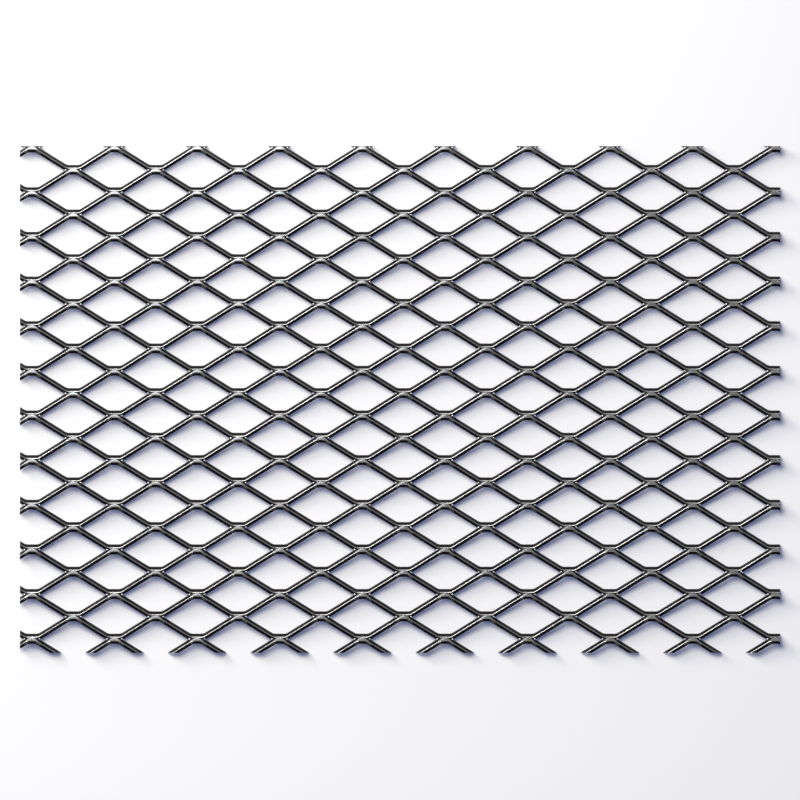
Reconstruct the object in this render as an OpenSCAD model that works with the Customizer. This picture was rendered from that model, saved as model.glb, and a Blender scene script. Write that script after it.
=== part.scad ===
// Raised expanded metal: one steel sheet, slit and stretched by a toothed die.
// Each stroke of the die feeds the sheet by one strand width and pushes a zigzag strip down.
// A strip stays joined to the strips before and after it only at the bonds.
// The strips are built standing in the die, then the whole mesh is laid flat.
// X runs the long way of the mesh, Y the short way, and Z is up from the floor. Sizes are in mm.

/* [Sheet] */
// Length of the cut sheet, the long way of the mesh
sheet_length = 300; // [150:1:600]
// Width of the cut sheet, the short way of the mesh
sheet_width = 200; // [100:1:400]
// Thickness of the steel
steel_thickness = 1.5; // [0.8:0.1:2]

/* [Mesh] */
// Long way of the mesh, from bond to bond
long_way = 32.6; // [28:0.1:44]
// Short way of the mesh, from bond to bond
short_way = 17.63; // [14:0.01:22]
// Strand width, the feed of one stroke
strand_width = 3.4; // [2:0.1:4.5]

/* [Bends at the bonds] */
// Flat that the tip of a tooth leaves in a trough
trough_flat = 3.5; // [1:0.1:5]
// Inside radius of the bends beside that flat
trough_radius = 2.5; // [0.5:0.1:3.5]
// Flat left on a crest, between two teeth
crest_flat = 0.6; // [0.2:0.1:4]
// Inside radius of the bends beside a crest
crest_radius = 2.9; // [0.5:0.1:3.5]

/* [Place of the mesh on the cut sheet] */
// Middle bond, right of the middle of the sheet
bond_right = 1.4; // [-8:0.1:8]
// Middle bond, above the middle of the sheet
bond_above = 2.5; // [-4:0.1:4]

/* [Hidden] */
// Flat facets in each bend
bend_steps = 2;

// Drop of one stroke, kept to a micrometre so that neighbouring strips meet on the same faces
drop = round(1000 * sqrt(pow(short_way / 2, 2) - pow(strand_width, 2))) / 1000;
// Distance between two rows of bonds, and the lean of the strips in the laid mesh
row = norm([strand_width, drop]);
lean = atan2(drop, strand_width);
column = long_way / 2;

// Slope of a strand: two bends with a straight between them climb one drop within one column
bend_radii = trough_radius + crest_radius + steel_thickness;
run = column - (trough_flat + crest_flat) / 2;
slope = atan2(drop - bend_radii, run) + asin(bend_radii / norm([run, drop - bend_radii]));

// Height of the laid mesh, and how far its lowest edges lie below the middle of a crest
mesh_height = strand_width * (2 * drop + steel_thickness) / row;
lift = strand_width * (1.5 * drop + steel_thickness / 2) / row;
// Middle of a bond, two strands wide, past the middle of the crest that belongs to it
bond_shift = pow(strand_width, 2) / row / 2;
// Half of what one strand takes up along Y
strand_reach = (pow(strand_width, 2) + steel_thickness * drop) / row / 2;

// Columns of bonds on the cut sheet, counted from the middle bond
first_column = ceil((-sheet_length / 2 - bond_right) / column);
last_column = floor((sheet_length / 2 - bond_right) / column);
// Rows of bonds below and above the middle bond, and strips, counted from 1 at the front edge
rows_below = floor((sheet_width / 2 + bond_above) / row);
rows_above = floor((sheet_width / 2 - bond_above) / row);
strips = rows_below + rows_above + 2;
// Where the crests of a strip numbered 0 would lie along Y
first_crest = bond_above - bond_shift - (rows_below + 1) * row;

function bond_x(i) = bond_right + i * column;
function is_crest(i, strip) = (i + strip - rows_below - 1) % 2 == 0;
// Face between a strip and the next one, in the die
function side(strip) = (strip + 0.5) * strand_width;

// One bend of an edge line: down one side, over the flat, up the other; rise is 1 or -1
function bend(x, z, flat, radius, rise) = [
    for (way = [-1, 1])
    for (step = [0:bend_steps])
    let (turn = slope * (way < 0 ? bend_steps - step : step) / bend_steps)
    [x + way * (flat / 2 + radius * sin(turn)), z + rise * radius * (1 - cos(turn))]
];

// A crest's outside is its top face, a trough's outside is its underside; face is 1 or -1
function crest(i, strip, face) =
    let (radius = crest_radius + (face > 0 ? steel_thickness : 0))
    bend(bond_x(i), strip * drop + face * steel_thickness / 2, crest_flat, radius, -1);
function trough(i, strip, face) =
    let (radius = trough_radius + (face > 0 ? 0 : steel_thickness))
    bend(bond_x(i), (strip - 1) * drop + face * steel_thickness / 2, trough_flat, radius, 1);

// Edge line of a strip, past every column on the sheet
function edge(strip, face) = [
    for (i = [first_column - 2:last_column + 2])
    for (p = is_crest(i, strip) ? crest(i, strip, face) : trough(i, strip, face))
    p
];

// The same line, sheared off square at both ends
function trimmed(line, low, high) = concat(
    [[low, lookup(low, line)]],
    [for (p = line) if (p[0] > low && p[0] < high) p],
    [[high, lookup(high, line)]]
);

function reversed(line) = [for (i = [len(line) - 1:-1:0]) line[i]];

// Columns that a strip runs between: a strand stays on the sheet if one of its two bonds does.
// The first strip keeps only its crests on the sheet, and the last one only its troughs.
function ends_early(i, strip) =
    (strip == 1 && !is_crest(i, strip)) || (strip == strips && is_crest(i, strip));
function starts_at(strip) = first_column - (ends_early(first_column, strip) ? 0 : 1);
function stops_at(strip) = last_column + (ends_early(last_column, strip) ? 0 : 1);

// One zigzag strip of the stretched sheet, one strand wide, as it stands in the die
module zigzag(strip) {
    low = max(-sheet_length / 2, bond_x(starts_at(strip)));
    high = min(sheet_length / 2, bond_x(stops_at(strip)));
    top = trimmed(edge(strip, 1), low, high);
    underside = trimmed(edge(strip, -1), low, high);
    translate([0, side(strip), 0])
        rotate([90, 0, 0])
            linear_extrude(height = side(strip) - side(strip - 1))
                polygon(concat(top, reversed(underside)));
}

// What the shear keeps, seen from the die
module between_cuts() {
    rotate([lean, 0, 0])
        translate([-sheet_length, -sheet_width / 2 - first_crest, -lift - mesh_height])
            cube([2 * sheet_length, sheet_width, 3 * mesh_height]);
}

// A strip reaches from its troughs to its crests along Y
function low_end(strip) = first_crest + (strip - 1) * row + 2 * bond_shift - strand_reach;
function high_end(strip) = first_crest + strip * row + strand_reach;
function is_cut(strip) = low_end(strip) < -sheet_width / 2 || high_end(strip) > sheet_width / 2;

module expanded_sheet() {
    color([0.13, 0.13, 0.14])
        translate([0, first_crest, lift])
            rotate([-lean, 0, 0])
                union() {
                    for (strip = [1:strips]) {
                        if (is_cut(strip)) {
                            intersection() {
                                zigzag(strip);
                                between_cuts();
                            }
                        } else {
                            zigzag(strip);
                        }
                    }
                }
}

expanded_sheet();
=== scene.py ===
# %% [markdown]
# The part is one sheet of raised expanded metal: steel that a toothed die has slit and stretched into diamonds.
# The CAD model has the true layout with flat-sided strands. This script dresses it: the same strands with
# rounded edges and turned knuckles, a black finish rubbed on its edges, and the floor and light of the picture.

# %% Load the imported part
import math

import bpy
import numpy as np
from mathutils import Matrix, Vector


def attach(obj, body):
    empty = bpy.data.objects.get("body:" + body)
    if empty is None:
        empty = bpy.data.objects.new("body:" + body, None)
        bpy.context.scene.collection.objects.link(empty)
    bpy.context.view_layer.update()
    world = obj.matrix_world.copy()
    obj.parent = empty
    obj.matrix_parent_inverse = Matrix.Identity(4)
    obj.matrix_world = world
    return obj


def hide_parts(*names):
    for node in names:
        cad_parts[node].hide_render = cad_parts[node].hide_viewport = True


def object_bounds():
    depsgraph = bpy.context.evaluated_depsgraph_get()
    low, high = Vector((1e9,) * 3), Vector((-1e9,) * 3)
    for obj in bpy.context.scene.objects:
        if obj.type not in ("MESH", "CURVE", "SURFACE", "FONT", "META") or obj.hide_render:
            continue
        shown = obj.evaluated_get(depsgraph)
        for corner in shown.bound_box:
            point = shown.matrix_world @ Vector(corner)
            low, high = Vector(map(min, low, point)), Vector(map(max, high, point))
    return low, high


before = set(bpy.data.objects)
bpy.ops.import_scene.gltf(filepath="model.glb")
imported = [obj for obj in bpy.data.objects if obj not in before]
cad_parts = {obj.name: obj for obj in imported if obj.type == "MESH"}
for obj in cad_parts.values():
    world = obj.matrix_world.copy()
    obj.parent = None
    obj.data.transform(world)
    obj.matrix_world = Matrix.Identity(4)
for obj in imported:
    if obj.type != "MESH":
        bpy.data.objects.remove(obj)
cad_low, cad_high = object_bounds()
print("CAD box in mm:", [round(1000 * v, 2) for v in cad_high - cad_low])

# %% [markdown]
# The camera comes first, because every later choice is judged through it. The picture looks straight down, and
# rows of diamonds at its edges lean no more than those in its middle. A camera far away with a long lens gives
# that. The sheet fills 760 of the 800 pixels across, half a pixel above the middle.

# %% Camera
IMAGE_PX = 800
SHEET_PX = 760
ABOVE_MIDDLE_PX = 0.5
CAMERA_DISTANCE = 6.0

pixel = (cad_high.x - cad_low.x) / SHEET_PX
middle_height = (cad_low.z + cad_high.z) / 2
camera = bpy.data.objects.new("camera", bpy.data.cameras.new("camera"))
bpy.context.scene.collection.objects.link(camera)
camera.location = (0, -ABOVE_MIDDLE_PX * pixel, middle_height + CAMERA_DISTANCE)
camera.data.lens = camera.data.sensor_width * CAMERA_DISTANCE / (IMAGE_PX * pixel)
bpy.context.scene.camera = camera
print(f"one pixel is {1000 * pixel:.4f} mm, the lens is {camera.data.lens:.0f} mm")

# %% [markdown]
# The sizes of the mesh are those of the CAD model, in mm. A stroke of the die feeds the sheet by one strand
# width and pushes a zigzag strip down by one drop. Laid flat, the strips lean on each other like roof tiles.

# %% Sizes of the mesh
MM = 0.001
steel_thickness = 1.5
long_way = 32.6
short_way = 17.63
strand_width = 3.4
trough_flat, trough_radius = 3.5, 2.5
crest_flat, crest_radius = 0.6, 2.9
bond_right, bond_above = 1.4, 2.5

column = long_way / 2
drop = round(1000 * math.sqrt((short_way / 2) ** 2 - strand_width ** 2)) / 1000
row = math.hypot(strand_width, drop)
bend_radii = trough_radius + crest_radius + steel_thickness
run = column - (trough_flat + crest_flat) / 2
slope = math.atan2(drop - bend_radii, run) + math.asin(bend_radii / math.hypot(run, drop - bend_radii))
lift = strand_width * (1.5 * drop + steel_thickness / 2) / row
bond_shift = strand_width ** 2 / row / 2
half_width = (cad_high.y - cad_low.y) / 2 / MM
rows_below = math.floor((half_width + bond_above) / row)
rows_above = math.floor((half_width - bond_above) / row)
strips = np.arange(1, rows_below + rows_above + 3)
first_crest = bond_above - bond_shift - (rows_below + 1) * row
print(f"{len(strips)} strips, strand slope {math.degrees(slope):.1f} degrees")

# %% [markdown]
# The line that a strip follows is the same for all strips: over a crest, down a straight strand, through a
# trough and up again. Half a wave is worked out from its two bends, and its mirror image closes the wave.

# %% One wave of a strip
WAVES_EACH_WAY = 6
crest_turns, trough_turns = np.linspace(0, 1, 5), np.linspace(0, 1, 3)
straight_shares = np.array([0.13, 0.85])


def half_wave():
    """Middle line of a strip from a crest to the next trough: distance along, height and angle of the line.

    A crest is a flat and an arc: along = flat / 2 + R sin a, height = -R (1 - cos a). A trough is the same turned
    over, and straight points share out the way between the two arcs."""
    turn, wide_turn = slope * crest_turns, slope * trough_turns
    crest_arc = crest_radius + steel_thickness / 2
    trough_arc = trough_radius + steel_thickness / 2
    x_crest = crest_flat / 2 + crest_arc * np.sin(turn)
    z_crest = -crest_arc * (1 - np.cos(turn))
    x_trough = (column - trough_flat / 2 - trough_arc * np.sin(wide_turn))[::-1]
    z_trough = (trough_arc * (1 - np.cos(wide_turn)) - drop)[::-1]
    x_straight = x_crest[-1] + straight_shares * (x_trough[0] - x_crest[-1])
    z_straight = z_crest[-1] + straight_shares * (z_trough[0] - z_crest[-1])
    x = np.concatenate([[0], x_crest, x_straight, x_trough, [column]])
    z = np.concatenate([[0], z_crest, z_straight, z_trough, [-drop]])
    angle = -np.concatenate([[0], turn, np.full(len(straight_shares), slope), wide_turn[::-1], [0]])
    return x, z, angle


def strip_line(waves):
    """Middle line of a strip over many waves: the half wave, its mirror image, and both repeated."""
    x, z, angle = half_wave()
    x = np.concatenate([x, 2 * column - x[-2:0:-1]])
    z = np.concatenate([z, z[-2:0:-1]])
    angle = np.concatenate([angle, -angle[-2:0:-1]])
    starts = 2 * column * np.arange(-waves, waves)[:, None]
    return (x + starts).ravel(), np.tile(z, 2 * waves), np.tile(angle, 2 * waves)


along, height, angle = strip_line(WAVES_EACH_WAY)
print(f"{len(along)} sections along a strip")

# %% [markdown]
# The section of a strand is a rectangle with rounded edges. One long edge shows as the bright line on every
# strand: it is the rolled-over side of the cut, so it is the roundest, though a little less round in a trough. On
# a crest the die has stretched the front of the strand into a round knuckle. So there are two outlines, one of a
# strand and one of a knuckle, with the same number of points, and each section is a mix of them.

# %% Section of a strand
ridge_round, trough_round, crest_round = 0.44, 0.40, 0.16
other_round = 0.18
overlap = 0.07
front_raise, back_raise = 0.14, 0.06
knuckle_reach, trough_reach, crest_reach = 2.8, 4.5, 6.0
cap_radius, cap_across, cap_through = 0.99, -0.76, 0.51
knuckle_back_drop, knuckle_thinning = 0.4, 0.04

# Each point of the outline belongs to a corner (signs across and through the strip) and to an angle round it.
# Three more points share out the top between its two corners. On a knuckle they and the ridge lie on the cap.
ROUND_5, ROUND_3 = np.radians([90, 67.5, 45, 22.5, 0]), np.radians([0, 45, 90])
top_shares = [0.55, 0, -0.5]
back_top, on_cap, front_under = slice(0, 3), slice(3, 11), slice(11, 14)
side_across = np.concatenate([np.full(3, 1), top_shares, np.full(5, -1), np.full(3, -1), np.full(3, 1)])
side_through = np.concatenate([np.full(11, 1), np.full(6, -1)])
corner_angle = np.concatenate([ROUND_3, np.full(3, math.pi / 2), ROUND_5, ROUND_3, ROUND_3[::-1]])
on_ridge = (side_across == -1) & (side_through > 0)
cap_angle = np.radians([-48, -22, 5, 26, 46, 66, 86.5, 92])


def beside_crest(x):
    """Distance along a strip to its nearest crest. Crests stand one wave apart, from 0 on."""
    return np.abs((x + column) % (2 * column) - column)


def nearness(x, reach):
    """1 at each crest of a strip, falling as half a cosine wave to 0 at the reach."""
    return 0.5 + 0.5 * np.cos(math.pi * np.clip(beside_crest(x) / reach, 0, 1))


def strand_outline(x):
    """Outline of a strand: a corner is an arc, its middle plus radius times cosine across and sine through.

    The radius of the ridge changes towards a trough and shrinks towards a crest, where the edge is still sharp.
    The outline rises a little from its back to its front."""
    ridge = ridge_round + (trough_round - ridge_round) * nearness(x - column, trough_reach)
    ridge = ridge + (crest_round - ridge_round) * nearness(x, crest_reach)
    radius = np.where(on_ridge, ridge, other_round)
    across = side_across * (strand_width / 2 + overlap - radius + radius * np.cos(corner_angle))
    through = side_through * (steel_thickness / 2 - radius + radius * np.sin(corner_angle))
    raise_share = 0.5 - across / strand_width
    return across, through + front_raise * raise_share + back_raise * (1 - raise_share) * (side_through > 0)


def knuckle_outline():
    """Outline of a knuckle: a strand's corners, with the back lower, the underside higher and a round cap.

    On the cap across is its middle minus radius times sine, and through is its middle plus radius times cosine."""
    across = side_across * (strand_width / 2 + overlap - other_round + other_round * np.cos(corner_angle))
    through = side_through * (steel_thickness / 2 - other_round + other_round * np.sin(corner_angle))
    through[back_top] -= knuckle_back_drop
    through[front_under] += knuckle_thinning
    across[on_cap] = cap_across - cap_radius * np.sin(cap_angle)
    through[on_cap] = cap_through + cap_radius * np.cos(cap_angle)
    return across, through


def strand_sections(x):
    """Outline points of the section at each place along a strip: strand and knuckle mixed by the nearness of a
    crest."""
    share = nearness(x, knuckle_reach)[:, None]
    strand, knuckle = strand_outline(x[:, None]), knuckle_outline()
    return (1 - share) * strand[0] + share * knuckle[0], (1 - share) * strand[1] + share * knuckle[1]


across, through = strand_sections(along)
print(f"{across.shape[1]} points round a section")

# %% [markdown]
# A strip is the section carried along its line. In the die the strips stand one behind the other, each one
# strand width further and one drop higher. Laying the mesh flat is a turn that puts the row of bonds level. The
# rolls that the sheet runs through last press its crests, so each knuckle ends in a small flat that is shaped like
# a lens and shines like a mirror. All flats face the same way, and each falls off a little beside its crest.

# %% Carry the section along every strip
flat_turn = math.radians(32)
flat_reach, flat_fall, fall_stops = 1.41, 0.034, 3
flat_press = 0.90


def laid(x, feed, up):
    """Points in metres from millimetres along the strips, along the feed of the die and up from it.

    The laid mesh has Y = (feed * strand_width + up * drop) / row and Z = (up * strand_width - feed * drop) / row."""
    y = (feed * strand_width + up * drop) / row + first_crest
    z = (up * strand_width - feed * drop) / row + lift
    return MM * np.stack(np.broadcast_arrays(x, y, z), axis=-1)


def past_flat(beside, feed, up):
    """How far a point, seen from the middle of its crest, stands past the flat.

    The flat is a plane at a turn and a reach, less its fall times the square of the distance beside the crest. The
    fall stops a little way off, past the ends of the flat."""
    reach = flat_reach - flat_fall * np.minimum(beside, fall_stops) ** 2
    return up * math.cos(flat_turn) - feed * math.sin(flat_turn) - reach


def strip_points(numbers):
    """Points of the named strips, as an array of strip, place along, point round and coordinate.

    In the die a point is the middle line, plus across along the feed and through along the line's normal. What
    stands past the flat is pressed back most of the way."""
    first = bond_right + column * (numbers % 2)
    x = along[:, None] - through * np.sin(angle)[:, None]
    up = height[:, None] + through * np.cos(angle)[:, None]
    pressed = flat_press * np.maximum(past_flat(beside_crest(x), across, up), 0)
    x = first[:, None, None] + x
    feed = strand_width * numbers[:, None, None] + across + pressed * math.sin(flat_turn)
    up = drop * numbers[:, None, None] + up - pressed * math.cos(flat_turn)
    return laid(x, feed, up)


def tube_faces(tubes, rings, sides):
    """Faces of closed tubes: four-sided ones between two rings, and one many-sided cap on each end.

    Corners go from a point to the next one round, then along, so that every face looks out of the tube."""
    ring, side = np.meshgrid(np.arange(rings - 1), np.arange(sides), indexing="ij")
    beside = (side + 1) % sides
    quad = np.stack([ring * sides + side, ring * sides + beside,
                     (ring + 1) * sides + beside, (ring + 1) * sides + side], axis=-1).reshape(-1, 4)
    start = (np.arange(tubes) * rings * sides)[:, None]
    near_cap = start + np.arange(sides)[::-1]
    far_cap = start + (rings - 1) * sides + np.arange(sides)
    quads = (start[:, :, None] + quad).reshape(-1, 4)
    return quads.tolist() + near_cap.tolist() + far_cap.tolist()


def mesh_object(name, points, faces):
    """A new object at the origin from points in metres and faces."""
    mesh = bpy.data.meshes.new(name)
    mesh.from_pydata(points.reshape(-1, 3).tolist(), [], faces)
    piece = bpy.data.objects.new(name, mesh)
    bpy.context.scene.collection.objects.link(piece)
    return piece


def tubes_object(name, points):
    """Closed tubes from points, given as an array of tube, ring, point round and coordinate."""
    return mesh_object(name, points, tube_faces(*points.shape[:3]))


even_strips = tubes_object("even_strips", strip_points(strips[strips % 2 == 0]))
odd_strips = tubes_object("odd_strips", strip_points(strips[strips % 2 == 1]))
print(len(even_strips.data.vertices) + len(odd_strips.data.vertices), "points on all strips")

# %% [markdown]
# Where a slit ends, at both sides of a bond, the steel has drawn out into a small round nub. It sits in the
# corner of the diamond and catches the light. A nub is an egg shape: a grid of rings along the strip and points
# round it, closed like a short tube.

# %% Nubs at the ends of the slits
nub_apart, nub_feed, nub_up = 3.0, 1.5, 0.02
nub_radii = np.array([0.48, 0.42, 0.42])
nub_latitudes, nub_sides = np.radians([-52, 0, 52]), 7


def nub_points(numbers):
    """Points of two nubs beside every crest of the named strips, as an array of nub, ring, point round, coordinate.

    A ring at latitude a has x = radius sin a, and a circle of radius cos a across and through the strip."""
    latitude = nub_latitudes[:, None]
    round_angle = 2 * math.pi * np.arange(nub_sides) / nub_sides
    wave = 2 * column * np.arange(-WAVES_EACH_WAY, WAVES_EACH_WAY + 1)
    beside = (wave[:, None] + nub_apart * np.array([-1, 1])).ravel()
    number, beside = (grid.ravel()[:, None, None] for grid in np.meshgrid(numbers, beside, indexing="ij"))
    x = bond_right + column * (number % 2) + beside + nub_radii[0] * np.sin(latitude)
    feed = strand_width * number + nub_feed + nub_radii[1] * np.cos(latitude) * np.cos(round_angle)
    up = drop * number + nub_up + nub_radii[2] * np.cos(latitude) * np.sin(round_angle)
    return laid(x, feed, up)


nubs = tubes_object("nubs", nub_points(strips[:-1]))
print(len(nubs.data.vertices) // (nub_sides * len(nub_latitudes)), "nubs before the cut")

# %% [markdown]
# On the real sheet the strips are one piece of steel at the bonds, and a shear has cut the outline. Solid
# operations do the same: the even strips, the odd strips and the nubs are joined where they meet, and a block of
# the sheet's size keeps what is inside it. The joined mesh replaces the plain CAD node.

# %% Join the strips and cut the sheet to size
def block(name, low, high):
    """A closed box between two corners, to cut with."""
    corner = np.stack(np.meshgrid([0, 1], [0, 1], [0, 1], indexing="ij"), axis=-1).reshape(-1, 3)
    points = np.array(low) + corner * (np.array(high) - np.array(low))
    faces = [[0, 1, 3, 2], [4, 6, 7, 5], [0, 4, 5, 1], [2, 3, 7, 6], [0, 2, 6, 4], [1, 5, 7, 3]]
    return mesh_object(name, points, faces)


SHARP_FROM = math.radians(36)
spare = 0.01
shear = block("shear", (cad_low.x, cad_low.y, cad_low.z - spare), (cad_high.x, cad_high.y, cad_high.z + spare))
for other, operation in ((odd_strips, "UNION"), (nubs, "UNION"), (shear, "INTERSECT")):
    cut = even_strips.modifiers.new(operation.lower(), "BOOLEAN")
    cut.object, cut.operation, cut.solver = other, operation, "MANIFOLD"
joined = bpy.data.meshes.new_from_object(even_strips.evaluated_get(bpy.context.evaluated_depsgraph_get()))
for tool in (even_strips, odd_strips, nubs, shear):
    bpy.data.objects.remove(tool)

joined.name = "expanded_mesh"
joined.materials.clear()
joined.shade_smooth()
joined.set_sharp_from_angle(angle=SHARP_FROM)
sheet = bpy.data.objects.new("expanded_mesh", joined)
bpy.context.scene.collection.objects.link(sheet)
weighted = sheet.modifiers.new("flat faces stay flat", "WEIGHTED_NORMAL")
weighted.keep_sharp = True
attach(sheet, "root")
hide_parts("expanded_sheet")
joined.calc_loop_triangles()
print(len(joined.loop_triangles), "triangles on the joined sheet")

# %% [markdown]
# The finish is a gloss black. Bright steel shows on the rolled-over edges, on the flats of the knuckles and on the
# nubs: in part it is paint rubbed off by other sheets, in part it is a painted highlight where those edges shine. An
# attribute says how much each point is such a place. It comes from the place of the point in the section of its
# strip, so it follows the shape and not the camera. A second attribute marks the sheared faces, on which the paint
# lies thicker and is glossier than on the mill faces.

# %% Where bright steel shows, as wear and as painted highlight
# Each pair is where a mask starts and where it is full. The first three are cosines: how far the way from the middle
# of the ridge's arc to a point turns to the front or to the top. The others are in mm.
BAND_STARTS, BAND_ENDS, ABOVE_ARC = (0.42, 0.68), (0.82, 0.98), (0, 0.2)
CLEAR_OF_CREST, INSIDE_FLAT, ROUND_NUB, ON_FRONT = (1.2, 2.2), (-0.004, 0.012), (0.50, 0.62), (1.50, 1.65)
WIDER_IN_TROUGH = 0.2


def smooth_step(value, low, high):
    """0 below low, 1 above high, and a smooth s-shaped rise between them."""
    t = np.clip((value - low) / (high - low), 0, 1)
    return t * t * (3 - 2 * t)


spots = np.empty(3 * len(joined.vertices))
joined.vertices.foreach_get("co", spots)
x, y, z = spots.reshape(-1, 3).T / MM
feed = ((y - first_crest) * strand_width - (z - lift) * drop) / row
up = ((y - first_crest) * drop + (z - lift) * strand_width) / row
strip = np.round((feed + 2 * overlap) / strand_width)
feed, up = feed - strip * strand_width, up - strip * drop
from_start = x - bond_right - column * (strip % 2)
from_crest = beside_crest(from_start)
through = (up - np.interp(from_start, along, height)) * np.cos(np.interp(from_start, along, angle))
front = ridge_round - strand_width / 2 - overlap - feed
top = through - steel_thickness / 2 - front_raise + ridge_round
to_front, to_top = np.array([front, top]) / np.hypot(front, top)
in_trough = nearness(from_start - column, trough_reach)
on_edge = smooth_step(to_front + WIDER_IN_TROUGH * in_trough, *BAND_STARTS)
on_edge *= 1 - smooth_step(to_front, *BAND_ENDS)
on_edge *= smooth_step(to_top, *ABOVE_ARC) * smooth_step(from_crest, *CLEAR_OF_CREST)
on_flat = smooth_step(past_flat(from_crest, feed, up), *INSIDE_FLAT)
from_nub = np.linalg.norm([from_crest - nub_apart, feed - nub_feed, up - nub_up], axis=0)
on_nub = 1 - smooth_step(from_nub, *ROUND_NUB)
# Bright steel on the ridge band, the knuckle flats and the nubs: in part worn paint, in part a painted highlight.
highlight_and_wear = np.maximum.reduce([on_edge, on_flat, on_nub])
sheared = smooth_step(-feed, *ON_FRONT)
for name, value in (("highlight_and_wear", highlight_and_wear), ("sheared", sheared)):
    layer = joined.attributes.new(name, "FLOAT", "POINT")
    layer.data.foreach_set("value", value.astype(np.float32))
print(f"{100 * (highlight_and_wear > 0.5).mean():.0f} % of the points are rubbed edges")

# %% [markdown]
# The strands keep a crisp line where faces meet at a large angle, as round the flats of the knuckles. A nub is
# round, but has so few faces that they meet at large angles too. More faces would help, but there are hundreds of
# nubs. So the edges of a nub are marked smooth again, and its shading hides the faces.

# %% Smooth nubs
ends = np.empty(2 * len(joined.edges), dtype=np.int32)
joined.edges.foreach_get("vertices", ends)
sharp = np.empty(len(joined.edges), dtype=bool)
joined.edges.foreach_get("use_edge_sharp", sharp)
sharp &= (on_nub[ends.reshape(-1, 2)] < 1).any(axis=1)
joined.edges.foreach_set("use_edge_sharp", sharp)
print(f"{sharp.sum()} sharp edges")

# %% [markdown]
# The finish itself is paint on steel. Where the attribute says so, and more in some patches than in others, the
# paint gives way to bright steel, which is in part wear and in part a painted highlight. The paint is black with a
# faint brown bloom where dust has settled. It is dull on the mill faces and has a clear coat on the sheared ones.
# Fine grain and the upright marks that the die leaves on a sheared face make the surface uneven. They are too small
# to model, so they are noise in the part's own coordinates.

# %% Gloss black finish
finish = bpy.data.materials.new("gloss_black_steel")
finish.use_nodes = True
nodes, links = finish.node_tree.nodes, finish.node_tree.links
shader = nodes["Principled BSDF"]


def node(kind, *sources, **values):
    """A shader node with its first inputs linked to the sources, and some other inputs or settings set by name."""
    made = nodes.new(kind)
    for name, value in values.items():
        if hasattr(made, name):
            setattr(made, name, value)
        else:
            made.inputs[name.replace("_", " ")].default_value = value
    for source, socket in zip(sources, [i for i in made.inputs if i.enabled]):
        links.new(source, socket)
    return made.outputs


def noise_between(low, high, source):
    """The usual range of a noise, 0.3 to 0.7, spread from low to high."""
    return node("ShaderNodeMapRange", source, From_Min=0.3, From_Max=0.7, To_Min=low, To_Max=high)["Result"]


place = node("ShaderNodeTexCoord")["Object"]
edge = node("ShaderNodeAttribute", attribute_name="highlight_and_wear")["Fac"]
grain = node("ShaderNodeTexNoise", place, Scale=900.0, Detail=3.0, Roughness=0.6)["Fac"]
patches = node("ShaderNodeTexNoise", place, Scale=70.0, Detail=4.0, Roughness=0.55)["Fac"]
drawn = node("ShaderNodeMapping", place, Scale=(5000, 350, 350))["Vector"]
marks = node("ShaderNodeTexNoise", drawn, Scale=1.0, Detail=2.0)["Fac"]

# How much bright steel shows: in part wear, in part a painted highlight.
steel_highlight_and_wear = node("ShaderNodeMath", edge, noise_between(0.6375, 0.935, patches), operation="MULTIPLY")["Value"]
black = node("ShaderNodeMix", noise_between(0, 1, patches), data_type="RGBA",
             A=(0.003, 0.003, 0.004, 1), B=(0.009, 0.007, 0.007, 1))["Result"]
colour = node("ShaderNodeMix", steel_highlight_and_wear, black, data_type="RGBA", B=(0.78, 0.785, 0.80, 1))["Result"]
uneven = node("ShaderNodeMath", grain, marks, operation="ADD")["Value"]
bump = node("ShaderNodeBump", Strength=0.05, Distance=0.00005)
links.new(uneven, bump["Normal"].node.inputs["Height"])
links.new(colour, shader.inputs["Base Color"])
links.new(steel_highlight_and_wear, shader.inputs["Metallic"])
links.new(noise_between(0.20, 0.30, grain), shader.inputs["Roughness"])
links.new(bump["Normal"], shader.inputs["Normal"])
links.new(node("ShaderNodeAttribute", attribute_name="sheared")["Fac"], shader.inputs["Coat Weight"])
shader.inputs["Coat Roughness"].default_value = 0.12
shader.inputs["Specular IOR Level"].default_value = 0.008
sheet.data.materials.append(finish)
print("finish:", finish.name, "with", len(nodes), "nodes")

# %% [markdown]
# The sheet lies on a white floor, a flat plane wide enough that the usual views don't see its end. In the picture it is
# all but burnt out and its shadows are pale and bluish. More lamps would burn out the sheet as well. So the floor
# itself glows, and only for the camera and in mirror images: the sheet gets no light from it. The glow is bluish
# and the floor's own colour is as much too warm, so together they are white in the light and bluish in a shadow.

# %% Floor
floor_half = 2.0
floor_points = floor_half * np.array([[-1, -1, 0], [1, -1, 0], [1, 1, 0], [-1, 1, 0]])
floor = mesh_object("floor", floor_points, [[0, 1, 2, 3]])
floor_paint = bpy.data.materials.new("white_table")
floor_paint.use_nodes = True
floor_nodes, floor_links = floor_paint.node_tree.nodes, floor_paint.node_tree.links
floor_shader = floor_nodes["Principled BSDF"]
floor_shader.inputs["Base Color"].default_value = (0.86, 0.845, 0.78, 1)
floor_shader.inputs["Roughness"].default_value = 0.9
floor_shader.inputs["Specular IOR Level"].default_value = 0.0
floor_shader.inputs["Emission Color"].default_value = (0.105, 0.13, 0.24, 1)
ray = floor_nodes.new("ShaderNodeLightPath")
seen = ray.outputs["Is Camera Ray"]
for kind in ("Is Glossy Ray", "Is Transmission Ray"):
    either = floor_nodes.new("ShaderNodeMath")
    either.operation = "MAXIMUM"
    floor_links.new(seen, either.inputs[0])
    floor_links.new(ray.outputs[kind], either.inputs[1])
    seen = either.outputs["Value"]
floor_links.new(seen, floor_shader.inputs["Emission Strength"])
floor.data.materials.append(floor_paint)
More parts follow.
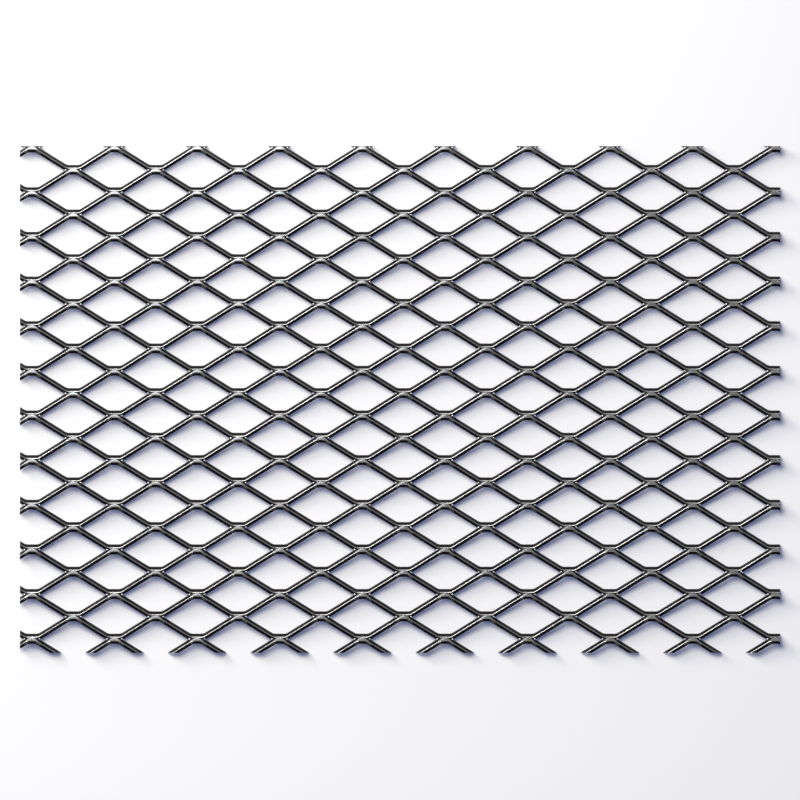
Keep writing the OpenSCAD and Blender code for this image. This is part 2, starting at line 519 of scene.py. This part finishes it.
print("floor", 2 * floor_half, "m across")

# %% [markdown]
# The light in the picture comes from the upper left. A high panel there throws the short shadows. The bright
# line on strands that rise to the right mirrors a panel on the left, and the knuckles mirror a low window beyond
# the upper edge, with a dimmer surround. Lamps without a size would light the floor too, but a bright edge
# shows the shape of what it mirrors. So each light is a soft panel, given by its brightness in a mirror.

# %% Light
def soft_panel(name, place, aim, width, height, brightness, colour):
    """A rectangular light that faces a point. Blender's power is 4 times brightness times area."""
    lamp = bpy.data.lights.new(name, "AREA")
    lamp.shape, lamp.size, lamp.size_y = "RECTANGLE", width, height
    lamp.energy = 4 * brightness * width * height
    lamp.color = colour
    panel = bpy.data.objects.new(name, lamp)
    bpy.context.scene.collection.objects.link(panel)
    panel.location = place
    panel.rotation_euler = (Vector(aim) - Vector(place)).to_track_quat("-Z", "Y").to_euler()
    reach = (Vector(aim) - Vector(place)).length
    floor_share = brightness * width * height / reach ** 2 * (place[2] / reach) / math.pi
    print(f"{name}: {floor_share:.2f} of white on the floor")


WARM_WHITE, COOL_WHITE = (1.0, 0.97, 0.92), (0.94, 0.97, 1.0)
soft_panel("key panel", (-0.324, 0.489, 1.703), (0, 0, 0), 0.68, 0.68, 13.0, WARM_WHITE)
soft_panel("left panel", (-0.66, 0.46, 0.65), (0, 0, 0), 0.40, 0.55, 6.2, WARM_WHITE)
soft_panel("upper window", (-0.285, 0.30, 0.054), (-0.285, 0, 0.054), 0.63, 0.106, 1.05, COOL_WHITE)
soft_panel("window surround", (-0.315, 0.31, 0.068), (-0.315, 0, 0.068), 0.57, 0.134, 0.50, COOL_WHITE)
world = bpy.data.worlds.new("studio")
bpy.context.scene.world = world
world.use_nodes = True
world.node_tree.nodes["Background"].inputs["Color"].default_value = (0.035, 0.039, 0.05, 1)

# %% [markdown]
# A colour should come out about as it is written, so the picture keeps the plain view transform. Rounding the
# edges must not make the part larger than the CAD model.

# %% Finish
bpy.context.scene.view_settings.view_transform = "Standard"
